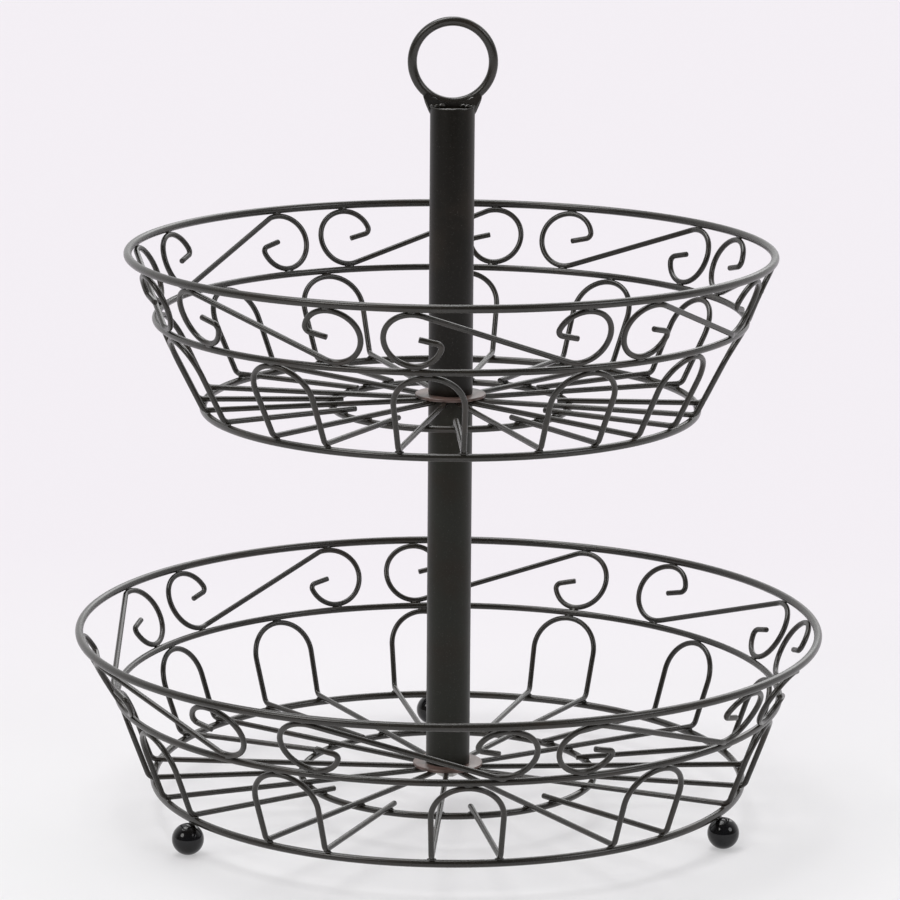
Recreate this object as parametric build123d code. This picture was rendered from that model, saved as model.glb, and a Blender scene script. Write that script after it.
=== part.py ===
"""Two-tier round wire basket on three ball feet, with a centre post and a ring handle.

Millimetres, +Z up. The origin is on the floor, on the post's axis.
Each tier is four rings of wire: a rim, a middle ring, a base ring and a small hub ring.
Bent arch wires stand between base and middle ring, and run inward as the spokes of the floor.
S-shaped scroll wires fill the wall between middle ring and rim.
"""
import os
from math import acos, asin, ceil, cos, degrees, radians, sin, sqrt, tan

from build123d import *

# Wire diameters
rim_wire = 4.0
middle_wire = 3.4
base_wire = 3.8
hub_ring_wire = 3.4
arch_wire = 2.8
scroll_wire = 2.8
handle_wire = 4.6

# Ring radii, to the wire's centre line
lower_rim_radius = 185.0
lower_middle_radius = 166.3
lower_base_radius = 148.4
lower_hub_ring_radius = 74.0
upper_rim_radius = 159.2
upper_middle_radius = 145.8
upper_base_radius = 122.6
upper_hub_ring_radius = 59.0
handle_radius = 19.8

# Heights above the base ring of the same tier, and between the two base rings
middle_height = 45.0
rim_height = 77.2
tier_spacing = 190.1

# Arch wires
arch_count = 12
lower_arch_foot_spacing = 32.0
upper_arch_foot_spacing = 30.0
arch_bend_radius = 4.0
short_spoke_overrun = 6.0
lower_arch_turn_angle = 4.4
upper_arch_turn_angle = -4.6
lower_arch_offset_angles = (5, 3, 2.5, 0.5, -0.5, -3.5, -2, -6, -3, -1, 3.5, 8)
upper_arch_offset_angles = (-5, 2, -0.5, 1.5, 1.5, -1.5, 0, -3, -0.5, 0.5, 1.5, -2.5)

# Scroll wires; the gap is the space between the curls of two neighbouring scrolls, evenly set
scroll_count = 8
lower_scroll_gap = 12.53
upper_scroll_gap = 8.83
scroll_inner_radius = 13.2
scroll_hook_radius = 2.8
scroll_tip_length = 8.5
scroll_inner_end_angle = 162.0
scroll_hook_end_angle = 256.0
lower_scroll_turn_angle = -7.8
upper_scroll_turn_angle = 7.4
lower_scroll_offset_angles = (-1, -3, -1, -1, -2, -0.5, 1.5, 0)
upper_scroll_offset_angles = (0.5, -1, -1, -2, -0.7, 1.5, 1.2, -0.2)

# Ball feet
ball_diameter = 15.7
ball_flat_depth = 0.3
foot_count = 3
foot_turn_angle = 93.5
foot_overhang = 3.0

# Post, plates and fasteners
post_diameter = 22.0
post_wall = 1.5
upper_tube_length = 142.6
hub_disc_diameter = 35.0
hub_disc_thickness = 1.5
insert_length = 12.0
stud_diameter = 6.0
bolt_flange_diameter = 14.0
bolt_flange_thickness = 1.4
bolt_head_across_flats = 10.0
bolt_head_height = 4.0
bolt_head_chamfer = 0.4
plug_thickness = 3.0
saddle_thickness = 7.0
saddle_flare = 3.3

# Clearances
weld_gap = 0.05
plate_clearance = 0.1
stud_clearance = 0.3
thread_clearance = 0.05
spoke_clearance = 0.8

# Turn per step when a curved wire is laid out as arcs
step_angle = 40.0

# Heights worked out from the sizes above
ball_radius = ball_diameter / 2
ball_centre_height = ball_radius - ball_flat_depth
foot_reach = ball_radius + weld_gap + base_wire / 2
lower_base_height = ball_centre_height + sqrt(foot_reach ** 2 - foot_overhang ** 2)
upper_base_height = lower_base_height + tier_spacing
spoke_rise = base_wire / 2 + weld_gap + arch_wire / 2
disc_rise = spoke_rise + arch_wire / 2 + weld_gap
post_radius = post_diameter / 2
post_bore_radius = post_radius - post_wall
spoke_end_radius = post_radius + spoke_clearance
stud_radius = stud_diameter / 2
stud_hole_radius = stud_radius + stud_clearance
lower_disc_top = lower_base_height + disc_rise + hub_disc_thickness
upper_disc_bottom = upper_base_height + disc_rise
upper_disc_top = upper_disc_bottom + hub_disc_thickness
lower_tube_top = upper_disc_bottom - plate_clearance
upper_tube_bottom = upper_disc_top + plate_clearance
upper_tube_top = upper_tube_bottom + upper_tube_length
handle_height = upper_tube_top + weld_gap + handle_wire / 2 + handle_radius


def ring(radius, wire, height):
    """One closed ring of round wire, lying flat."""
    return Pos(0, 0, height) * Torus(radius, wire / 2)


def on_cone(angle, radius, height):
    """A point on a wall, at an angle in degrees about the post."""
    return Vector(radius * cos(radians(angle)), radius * sin(radians(angle)), height)


def outward(angle):
    """The level direction away from the post."""
    return Vector(cos(radians(angle)), sin(radians(angle)), 0)


def sideways(angle):
    """The level direction round the post, counter-clockwise."""
    return Vector(-sin(radians(angle)), cos(radians(angle)), 0)


def smooth_span(start, end):
    """Edges from one station to the next: a line, or two arcs that share a tangent."""
    point_a, way_a = start
    point_b, way_b = end
    chord = point_b - point_a
    if (chord.normalized() - way_a).length + (chord.normalized() - way_b).length < 1e-6:
        return [Edge.make_line(point_a, point_b)]
    spread = 2 * (1 - way_a.dot(way_b))
    pull = chord.dot(way_a + way_b)
    if spread < 1e-9:
        reach = chord.dot(chord) / (2 * pull)
    else:
        reach = (sqrt(pull * pull + spread * chord.dot(chord)) - pull) / spread
    corner_a = point_a + way_a * reach
    corner_b = point_b - way_b * reach
    joint = (corner_a + corner_b) / 2
    way_joint = (corner_b - corner_a).normalized()
    return [
        Edge.make_tangent_arc(point_a, way_a, joint),
        Edge.make_tangent_arc(joint, way_joint, point_b),
    ]


def bent_wire(stations, diameter):
    """A round wire through stations, each a point and the direction of the wire there."""
    edges = []
    for start, end in zip(stations, stations[1:]):
        edges += smooth_span(start, end)
    first_point, first_way = stations[0]
    section = Plane(origin=first_point, z_dir=first_way) * Circle(diameter / 2)
    return sweep(section, path=Wire(edges))


def arc_stations(centre, radius, start, end):
    """Stations of a flat arc, in degrees counter-clockwise, without its first one."""
    steps = ceil(abs(end - start) / step_angle)
    angles = [start + (end - start) * k / steps for k in range(1, steps + 1)]
    return [
        (centre[0] + radius * cos(radians(a)), centre[1] + radius * sin(radians(a)), a + 90)
        for a in angles
    ]


def arch_stations(base_radius, middle_radius, hub_ring_radius, height, foot_spacing):
    """Stations of a bent wire, centred on angle zero: long spoke, leg, round arch, leg, short spoke."""
    floor_height = height + spoke_rise
    plain_rise = Vector(middle_radius - base_radius, 0, middle_height - spoke_rise)
    foot_radius = base_radius + arch_bend_radius * tan(acos(plain_rise.normalized().X) / 2)
    rise = Vector(middle_radius - foot_radius, 0, middle_height - spoke_rise)
    lean = rise.normalized()
    setback = arch_bend_radius * tan(acos(lean.X) / 2)
    half_angle = degrees(asin(foot_spacing / 2 / base_radius))
    apex = rise.length - (middle_wire + arch_wire) / 2 - weld_gap
    shoulder_radius = foot_radius + lean.X * apex
    arch_radius = shoulder_radius * sin(radians(half_angle))
    shoulder = apex - arch_radius

    def wall_station(angle, along, heading):
        """A station on the wall, heading zero towards larger angles and 90 up the wall."""
        radius = foot_radius + lean.X * along
        up = outward(angle) * lean.X + Vector(0, 0, lean.Z)
        way = sideways(angle) * cos(radians(heading)) + up * sin(radians(heading))
        return on_cone(angle, radius, floor_height + lean.Z * along), way.normalized()

    def floor_station(angle, radius, sign):
        """A station on the floor of the tier, heading outward or inward."""
        return on_cone(angle, radius, floor_height), outward(angle) * sign

    stations = [
        floor_station(-half_angle, spoke_end_radius, 1),
        floor_station(-half_angle, foot_radius - setback, 1),
        wall_station(-half_angle, setback, 90),
        wall_station(-half_angle, shoulder, 90),
    ]
    steps = ceil(180 / step_angle)
    for k in range(1, steps):
        around = 180 - 180 * k / steps
        angle = half_angle * cos(radians(around))
        stations.append(wall_station(angle, shoulder + arch_radius * sin(radians(around)), around - 90))
    stations += [
        wall_station(half_angle, shoulder, -90),
        wall_station(half_angle, setback, -90),
        floor_station(half_angle, foot_radius - setback, -1),
        floor_station(half_angle, hub_ring_radius - short_spoke_overrun, -1),
    ]
    return stations


def scroll_stations(low_radius, high_radius, low_height, high_height, scroll_gap):
    """Stations of an S-shaped scroll on the wall, its middle on angle zero."""
    wall = Vector(high_radius - low_radius, 0, high_height - low_height)
    lean = wall.normalized()
    low_edge = (middle_wire + scroll_wire) / 2 + weld_gap
    high_edge = wall.length - (rim_wire + scroll_wire) / 2 - weld_gap
    curl_radius = (high_edge - low_edge) / 2
    mid_along = (low_edge + high_edge) / 2
    mid_radius = low_radius + lean.X * mid_along
    pitch = mid_radius * radians(360 / scroll_count)
    reach = (pitch - 2 * curl_radius - scroll_wire - scroll_gap) / 2
    slope = degrees(asin(curl_radius / reach))

    half = [(reach - curl_radius * sin(radians(slope)), -curl_radius * cos(radians(slope)), -slope)]
    half += arc_stations((reach, 0), curl_radius, -90 - slope, -90)
    half += arc_stations((reach, 0), curl_radius, -90, 90)
    inner_centre = (reach, curl_radius - scroll_inner_radius)
    half += arc_stations(inner_centre, scroll_inner_radius, 90, scroll_inner_end_angle)
    offset = scroll_inner_radius - scroll_hook_radius
    hook_centre = (
        inner_centre[0] + offset * cos(radians(scroll_inner_end_angle)),
        inner_centre[1] + offset * sin(radians(scroll_inner_end_angle)),
    )
    half += arc_stations(hook_centre, scroll_hook_radius, scroll_inner_end_angle, scroll_hook_end_angle)
    last_x, last_y, heading = half[-1]
    tip_x = last_x + scroll_tip_length * cos(radians(heading))
    tip_y = last_y + scroll_tip_length * sin(radians(heading))
    half.append((tip_x, tip_y, heading))
    other_half = [(-x, -y, heading) for x, y, heading in reversed(half)]

    stations = []
    for x, y, heading in other_half + half:
        angle = degrees(x / mid_radius)
        along = mid_along + y
        radius = low_radius + lean.X * along
        up = outward(angle) * lean.X + Vector(0, 0, lean.Z)
        stretch = radius / mid_radius
        way = sideways(angle) * (stretch * cos(radians(heading))) + up * sin(radians(heading))
        stations.append((on_cone(angle, radius, low_height + lean.Z * along), way.normalized()))

    # The wire runs straight from curl to curl, a little inside the wall
    straight = stations[len(half)][0] - stations[len(half) - 1][0]
    for k in (len(half) - 1, len(half)):
        stations[k] = (stations[k][0], straight.normalized())
    return stations


def spread_turns(count, first, offsets):
    """Directions of evenly spaced copies, each moved by its own offset because it was set by hand."""
    return [first + k * 360 / count + offsets[k % len(offsets)] for k in range(count)]


def make_tier(name, radii, height, foot_spacing, scroll_gap, arch_turns, scroll_turns):
    """All pieces of one tier, by node name; the radii run from the rim to the hub ring."""
    rim_radius, middle_radius, base_radius, hub_ring_radius = radii
    hub_ring_height = height + spoke_rise - (arch_wire + hub_ring_wire) / 2 - weld_gap
    nodes = {
        f"{name}_rim_ring": ring(rim_radius, rim_wire, height + rim_height),
        f"{name}_middle_ring": ring(middle_radius, middle_wire, height + middle_height),
        f"{name}_base_ring": ring(base_radius, base_wire, height),
        f"{name}_hub_ring": ring(hub_ring_radius, hub_ring_wire, hub_ring_height),
    }

    stations = arch_stations(base_radius, middle_radius, hub_ring_radius, height, foot_spacing)
    arch = bent_wire(stations, arch_wire)
    for k, turn in enumerate(arch_turns):
        nodes[f"{name}_arch_{k + 1:02d}"] = Rot(0, 0, turn) * arch

    stations = scroll_stations(
        middle_radius, rim_radius, height + middle_height, height + rim_height, scroll_gap)
    scroll = bent_wire(stations, scroll_wire)
    for k, turn in enumerate(scroll_turns):
        nodes[f"{name}_scroll_{k + 1}"] = Rot(0, 0, turn) * scroll

    disc = Cylinder(hub_disc_diameter / 2, hub_disc_thickness)
    disc -= Cylinder(stud_hole_radius, hub_disc_thickness)
    nodes[f"{name}_hub_disc"] = Pos(0, 0, height + disc_rise + hub_disc_thickness / 2) * disc
    return nodes


def make_feet():
    """Ball feet under the outer side of the lower base ring, each with a small flat to stand on."""
    ball = Sphere(ball_radius) & Pos(0, 0, ball_flat_depth) * Box(ball_diameter, ball_diameter, ball_diameter)
    nodes = {}
    for k in range(foot_count):
        turn = foot_turn_angle + k * 360 / foot_count
        place = on_cone(turn, lower_base_radius + foot_overhang, ball_centre_height)
        nodes[f"ball_foot_{k + 1}"] = Pos(*place) * ball
    return nodes


def post_tube(bottom, top):
    """A round tube on the post's axis."""
    length = top - bottom
    tube = Cylinder(post_radius, length) - Cylinder(post_bore_radius, length)
    return Pos(0, 0, bottom + length / 2) * tube


def threaded_insert(bottom):
    """A plug that closes the end of a tube and takes the stud or the bolt."""
    plug = Cylinder(post_bore_radius - weld_gap, insert_length)
    plug -= Cylinder(stud_radius + thread_clearance, insert_length)
    return Pos(0, 0, bottom + insert_length / 2) * plug


def make_post():
    """Tubes, inserts, joining stud and base bolt."""
    insert_bottoms = [lower_disc_top, lower_tube_top - insert_length, upper_tube_bottom]
    stud_length = 2 * insert_length + hub_disc_thickness + 2 * plate_clearance
    stud_bottom = lower_tube_top - insert_length
    flange_top = lower_base_height + disc_rise
    head_top = flange_top - bolt_flange_thickness
    shank_length = hub_disc_thickness + insert_length
    head = extrude(RegularPolygon(bolt_head_across_flats / 2, 6, major_radius=False), -bolt_head_height)
    head = chamfer(head.faces().sort_by(Axis.Z)[0].edges(), bolt_head_chamfer)
    flange = Pos(0, 0, flange_top - bolt_flange_thickness / 2) * Cylinder(
        bolt_flange_diameter / 2, bolt_flange_thickness)
    shank = Pos(0, 0, flange_top + shank_length / 2) * Cylinder(stud_radius, shank_length)
    return {
        "lower_post_tube": post_tube(lower_disc_top, lower_tube_top),
        "upper_post_tube": post_tube(upper_tube_bottom, upper_tube_top),
        "tube_inserts": Compound([threaded_insert(bottom) for bottom in insert_bottoms]),
        "joining_stud": Pos(0, 0, stud_bottom + stud_length / 2) * Cylinder(stud_radius, stud_length),
        "base_bolt": Pos(0, 0, head_top) * head + flange + shank,
    }


def make_handle():
    """The upright ring, and the saddle that closes the post and cups the ring from below."""
    upright = Pos(0, 0, handle_height) * Rot(90, 0, 0)
    flare_x = post_radius + saddle_flare
    ear_radius = handle_radius + handle_wire / 2
    flare_height = handle_height - sqrt(ear_radius ** 2 - flare_x ** 2)
    outline = Polyline(
        (-post_radius, upper_tube_top),
        (post_radius, upper_tube_top),
        (flare_x, flare_height),
        (0, handle_height),
        (-flare_x, flare_height),
        close=True,
    )
    block = extrude(Plane.XZ * make_face(outline), saddle_thickness / 2, both=True)
    block -= upright * Cylinder(handle_radius, saddle_thickness)
    block -= upright * Torus(handle_radius, handle_wire / 2 + weld_gap)
    plug = Cylinder(post_bore_radius - weld_gap, plug_thickness)
    return {
        "handle_ring": upright * Torus(handle_radius, handle_wire / 2),
        "ring_saddle": block + Pos(0, 0, upper_tube_top - plug_thickness / 2) * plug,
    }


def main():
    nodes = {}
    lower_radii = (lower_rim_radius, lower_middle_radius, lower_base_radius, lower_hub_ring_radius)
    upper_radii = (upper_rim_radius, upper_middle_radius, upper_base_radius, upper_hub_ring_radius)
    nodes.update(make_tier(
        "lower", lower_radii, lower_base_height, lower_arch_foot_spacing, lower_scroll_gap,
        spread_turns(arch_count, lower_arch_turn_angle, lower_arch_offset_angles),
        spread_turns(scroll_count, lower_scroll_turn_angle, lower_scroll_offset_angles)))
    nodes.update(make_tier(
        "upper", upper_radii, upper_base_height, upper_arch_foot_spacing, upper_scroll_gap,
        spread_turns(arch_count, upper_arch_turn_angle, upper_arch_offset_angles),
        spread_turns(scroll_count, upper_scroll_turn_angle, upper_scroll_offset_angles)))
    nodes.update(make_feet())
    nodes.update(make_post())
    nodes.update(make_handle())
    os.makedirs("parts", exist_ok=True)
    for name, shape in nodes.items():
        export_step(shape, f"parts/{name}.step")
    print(len(nodes), "nodes, height", handle_height + handle_radius + handle_wire / 2)


main()
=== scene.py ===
"""Dresses the two-tier wire basket: smooth wires, weld beads, post, feet, handle, studio and camera.

Metres, +Z up, origin on the floor under the post. Sizes of rings, post and feet come from the frame.
"""
from math import acos, asin, atan2, ceil, cos, pi, radians, sin, sqrt, tan

import bmesh
import bpy
from bpy.props import FloatProperty, FloatVectorProperty, IntProperty, PointerProperty
from mathutils import Matrix, Vector, noise


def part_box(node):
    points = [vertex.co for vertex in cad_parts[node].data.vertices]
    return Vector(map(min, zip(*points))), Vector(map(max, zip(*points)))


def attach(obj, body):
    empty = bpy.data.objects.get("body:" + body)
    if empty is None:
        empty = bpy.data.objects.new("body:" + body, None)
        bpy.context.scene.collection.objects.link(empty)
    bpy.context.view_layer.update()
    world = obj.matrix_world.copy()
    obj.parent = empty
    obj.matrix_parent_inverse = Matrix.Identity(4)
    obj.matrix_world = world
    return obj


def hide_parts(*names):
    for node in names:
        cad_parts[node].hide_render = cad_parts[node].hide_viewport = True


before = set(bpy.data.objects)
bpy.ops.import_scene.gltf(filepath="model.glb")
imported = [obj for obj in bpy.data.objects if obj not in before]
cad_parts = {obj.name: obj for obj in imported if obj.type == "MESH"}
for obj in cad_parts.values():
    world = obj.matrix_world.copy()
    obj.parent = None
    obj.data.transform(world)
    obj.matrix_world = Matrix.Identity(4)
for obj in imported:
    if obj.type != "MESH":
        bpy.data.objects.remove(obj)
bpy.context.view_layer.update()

bl_info = {
    "name": "Two-tier wire basket",
    "version": (1, 0, 0),
    "blender": (4, 5, 0),
    "location": "View3D > Sidebar > Basket",
    "description": "Builds the wires, welds, post, feet and handle of a wire basket, and its studio",
    "category": "Object",
}

# Each tier and the body that it rides
TIERS = {"lower": "stand", "upper": "upper_tier"}
# Right, back and up, as the photograph shows the basket
ACROSS, BACK, UP = Vector((1, 0, 0)), Vector((0, 1, 0)), Vector((0, 0, 1))
# Pixels across the photograph
PHOTO_WIDTH = 900
# How near two points of a seam lie to be joined
SEAM_MERGE = 0.000005

# Name, direction that it shines from, apparent size in degrees, strength and colour
LAMPS = (
    ("top_lamp", (-0.25, 0.15, 1.0), 35, 1.3, (1, 1, 1)),
    ("key_lamp", (-1.0, -0.9, 1.0), 25, 0.7, (1, 0.985, 0.965)),
    ("fill_lamp", (1.2, -0.7, 0.9), 25, 0.5, (0.97, 0.98, 1)),
    ("back_lamp", (0.3, 1.0, 0.8), 40, 0.8, (1, 1, 1)),
)


def box_sizes(node):
    """Lowest corner, highest corner and extent of a node in the frame."""
    low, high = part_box(node)
    low, high = Vector(low), Vector(high)
    return low, high, high - low


def outer_radius(node):
    """Half the width of a round node in the frame."""
    return box_sizes(node)[2].x / 2


def ring_size(node):
    """Centre-line radius, wire diameter and height of a flat ring in the frame."""
    low, high, extent = box_sizes(node)
    wire = extent.z
    return (max(extent.x, extent.y) - wire) / 2, wire, (low.z + high.z) / 2


class BasketShape(bpy.types.PropertyGroup):
    """Sizes of the bent wires and their welds; the frame gives the rings, post and feet."""

    filler_wire: FloatProperty(
        name="Filler wire", description="Diameter of the arch and scroll wires",
        default=0.0028, unit="LENGTH", precision=4)
    weld_gap: FloatProperty(
        name="Weld gap", description="Space between two touching wires, which the weld fills",
        default=0.00005, unit="LENGTH", precision=5)
    arch_count: IntProperty(
        name="Arches", description="Arch wires in one tier", default=12, min=3)
    lower_arch_foot_spacing: FloatProperty(
        name="Lower arch foot spacing",
        description="Distance between a lower arch's legs at the base ring",
        default=0.032, unit="LENGTH", precision=4)
    upper_arch_foot_spacing: FloatProperty(
        name="Upper arch foot spacing",
        description="Distance between an upper arch's legs at the base ring",
        default=0.030, unit="LENGTH", precision=4)
    arch_bend_radius: FloatProperty(
        name="Arch bend", description="Radius of the bend from leg to spoke",
        default=0.004, unit="LENGTH", precision=4)
    short_spoke_overrun: FloatProperty(
        name="Short spoke overrun", description="How far a short spoke runs past the hub ring",
        default=0.006, unit="LENGTH", precision=4)
    spoke_clearance: FloatProperty(
        name="Spoke clearance", description="Space between the post and the ends of the long spokes",
        default=0.0008, unit="LENGTH", precision=4)
    lower_arch_turn: FloatProperty(
        name="Lower arch turn", description="Direction of the lower tier's first arch",
        default=radians(4.4), subtype="ANGLE")
    upper_arch_turn: FloatProperty(
        name="Upper arch turn", description="Direction of the upper tier's first arch",
        default=radians(-4.6), subtype="ANGLE")
    scroll_count: IntProperty(
        name="Scrolls", description="Scroll wires in one tier", default=8, min=2)
    lower_scroll_gap: FloatProperty(
        name="Lower scroll gap", description="Space between the curls of two neighbouring lower scrolls",
        default=0.01253, unit="LENGTH", precision=5)
    upper_scroll_gap: FloatProperty(
        name="Upper scroll gap", description="Space between the curls of two neighbouring upper scrolls",
        default=0.00883, unit="LENGTH", precision=5)
    scroll_inner_radius: FloatProperty(
        name="Curl inner radius", description="Radius of the inner half of a curl",
        default=0.0132, unit="LENGTH", precision=4)
    scroll_hook_radius: FloatProperty(
        name="Hook radius", description="Radius of the tight hook inside a curl",
        default=0.0028, unit="LENGTH", precision=4)
    scroll_tip_length: FloatProperty(
        name="Tip length", description="Straight end of a scroll wire inside its curl",
        default=0.0085, unit="LENGTH", precision=4)
    scroll_inner_end: FloatProperty(
        name="Inner arc end", description="Where a curl's inner arc turns into the hook",
        default=radians(162), subtype="ANGLE")
    scroll_hook_end: FloatProperty(
        name="Hook end", description="Where the hook turns into the straight tip",
        default=radians(256), subtype="ANGLE")
    lower_scroll_turn: FloatProperty(
        name="Lower scroll turn", description="Direction of the lower tier's first scroll",
        default=radians(-7.8), subtype="ANGLE")
    upper_scroll_turn: FloatProperty(
        name="Upper scroll turn", description="Direction of the upper tier's first scroll",
        default=radians(7.4), subtype="ANGLE")
    lower_arch_offsets: FloatVectorProperty(
        name="Lower arch offsets",
        description="Degrees by which each hand-set lower arch is off even spacing",
        size=12, default=(5, 3, 2.5, 0.5, -0.5, -3.5, -2, -6, -3, -1, 3.5, 8))
    upper_arch_offsets: FloatVectorProperty(
        name="Upper arch offsets",
        description="Degrees by which each hand-set upper arch is off even spacing",
        size=12, default=(-5, 2, -0.5, 1.5, 1.5, -1.5, 0, -3, -0.5, 0.5, 1.5, -2.5))
    lower_scroll_offsets: FloatVectorProperty(
        name="Lower scroll offsets",
        description="Degrees by which each hand-set lower scroll is off even spacing",
        size=8, default=(-1, -3, -1, -1, -2, -0.5, 1.5, 0))
    upper_scroll_offsets: FloatVectorProperty(
        name="Upper scroll offsets",
        description="Degrees by which each hand-set upper scroll is off even spacing",
        size=8, default=(0.5, -1, -1, -2, -0.7, 1.5, 1.2, -0.2))
    edge_round: FloatProperty(
        name="Edge rounding", description="Rounding of cut ends and turned edges",
        default=0.0004, unit="LENGTH", precision=4)
    weld_length: FloatProperty(
        name="Weld length", description="Length of a weld bead along the thicker wire",
        default=0.0052, unit="LENGTH", precision=4)
    weld_width: FloatProperty(
        name="Weld width", description="Thickness of a weld bead",
        default=0.0023, unit="LENGTH", precision=4)
    spoke_bead_share: FloatProperty(
        name="Spoke bead share",
        description="Size of the beads under the spokes, as a share of a full bead",
        subtype="FACTOR", default=0.8, min=0, max=1)
    plate_bead_share: FloatProperty(
        name="Plate bead share",
        description="Length of the beads on the hub plates, as a share of a full bead",
        subtype="FACTOR", default=0.9, min=0, max=1)
    bead_lumps: FloatProperty(
        name="Bead lumps", description="How far a bead swells and shrinks, as a share of its size",
        subtype="FACTOR", default=0.22, min=0, max=1)
    saddle_thickness: FloatProperty(
        name="Saddle thickness", description="Thickness of the ring saddle from front to back",
        default=0.007, unit="LENGTH", precision=4)


class BasketFinish(bpy.types.PropertyGroup):
    """Colours and gloss of the coats."""

    coat_colour: FloatVectorProperty(
        name="Post coat", description="Charcoal powder coat of the post",
        subtype="COLOR", size=3, min=0, max=1, default=(0.0082, 0.0066, 0.0046))
    # Painted light: the lower tube's colour is the post's charcoal coat made lighter, standing in for the
    # brighter light on the lower tube
    lower_tube_colour: FloatVectorProperty(
        name="Lower tube coat with painted light", description="Post coat painted lighter on the lower tube for the light it catches",
        subtype="COLOR", size=3, min=0, max=1, default=(0.02, 0.0205, 0.0156))
    wire_colour: FloatVectorProperty(
        name="Wire coat", description="Charcoal powder coat of the wires and the handle",
        subtype="COLOR", size=3, min=0, max=1, default=(0.0172, 0.015, 0.0112))
    warm_colour: FloatVectorProperty(
        name="Warm tint", description="Brown tint where the coat is thin",
        subtype="COLOR", size=3, min=0, max=1, default=(0.022, 0.016, 0.011))
    enamel_colour: FloatVectorProperty(
        name="Foot enamel", description="Black enamel of the ball feet",
        subtype="COLOR", size=3, min=0, max=1, default=(0.006, 0.006, 0.007))
    plate_colour: FloatVectorProperty(
        name="Plates", description="Thin warm coat of the round hub plates",
        subtype="COLOR", size=3, min=0, max=1, default=(0.135, 0.086, 0.073))
    steel_colour: FloatVectorProperty(
        name="Steel", description="Zinc-plated steel of the bolt and stud",
        subtype="COLOR", size=3, min=0, max=1, default=(0.55, 0.55, 0.56))
    floor_colour: FloatVectorProperty(
        name="Floor", description="Pale studio floor under the basket",
        subtype="COLOR", size=3, min=0, max=1, default=(0.853, 0.85, 0.856))
    far_floor_colour: FloatVectorProperty(
        name="Far floor", description="Tint of the floor further back",
        subtype="COLOR", size=3, min=0, max=1, default=(0.806, 0.774, 0.811))
    wire_roughness: FloatProperty(
        name="Wire roughness", description="Gloss of the coat on the wires",
        subtype="FACTOR", default=0.27, min=0, max=1)
    post_roughness: FloatProperty(
        name="Post roughness", description="Gloss of the coat on the post",
        subtype="FACTOR", default=0.4, min=0, max=1)
    enamel_roughness: FloatProperty(
        name="Enamel roughness", description="Gloss of the ball feet",
        subtype="FACTOR", default=0.09, min=0, max=1)


def shape():
    """The sizes set in the sidebar."""
    return bpy.context.scene.basket_shape


def finish_values():
    """The colours and gloss set in the sidebar."""
    return bpy.context.scene.basket_finish


# Shader groups and materials


class ShaderNodes:
    """Adds nodes to a material, a group or the world, and joins them."""

    def __init__(self, tree):
        self.tree = tree

    def add(self, kind):
        """A new node of a kind."""
        return self.tree.nodes.new(kind)

    def feed(self, socket, value):
        """Links a socket to another one, or writes a plain value into it."""
        if isinstance(value, bpy.types.NodeSocket):
            self.tree.links.new(value, socket)
        else:
            socket.default_value = value

    def feed_all(self, node, values):
        """Feeds a node's inputs by their names."""
        for label, value in values.items():
            self.feed(node.inputs[label], value)

    def place(self):
        """Object coordinates, which stay with the piece."""
        return self.add("ShaderNodeTexCoord").outputs["Object"]

    def math(self, operation, first, second):
        """The result of a sum or product of two values."""
        node = self.add("ShaderNodeMath")
        node.operation = operation
        self.feed(node.inputs[0], first)
        self.feed(node.inputs[1], second)
        return node.outputs[0]

    def noise(self, place, scale, detail):
        """Cloudy values between 0 and 1."""
        node = self.add("ShaderNodeTexNoise")
        self.feed_all(node, {"Vector": place, "Scale": scale, "Detail": detail})
        return node.outputs["Fac"]

    def ramp(self, value, low, high):
        """A smooth step of a value between two limits."""
        node = self.add("ShaderNodeMapRange")
        node.interpolation_type = "SMOOTHSTEP"
        self.feed_all(node, {"Value": value, "From Min": low, "From Max": high})
        return node.outputs["Result"]

    def mix(self, factor, first, second):
        """A mix of two colours."""
        node = self.add("ShaderNodeMix")
        node.data_type = "RGBA"
        for label, value in (("Factor", factor), ("A", first), ("B", second)):
            self.feed([s for s in node.inputs if s.name == label and s.enabled][0], value)
        return [s for s in node.outputs if s.enabled][0]

    def bump(self, height, depth, strength=1.0):
        """A normal that follows a height."""
        node = self.add("ShaderNodeBump")
        self.feed_all(node, {"Height": height, "Distance": depth, "Strength": strength})
        return node.outputs["Normal"]


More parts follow.
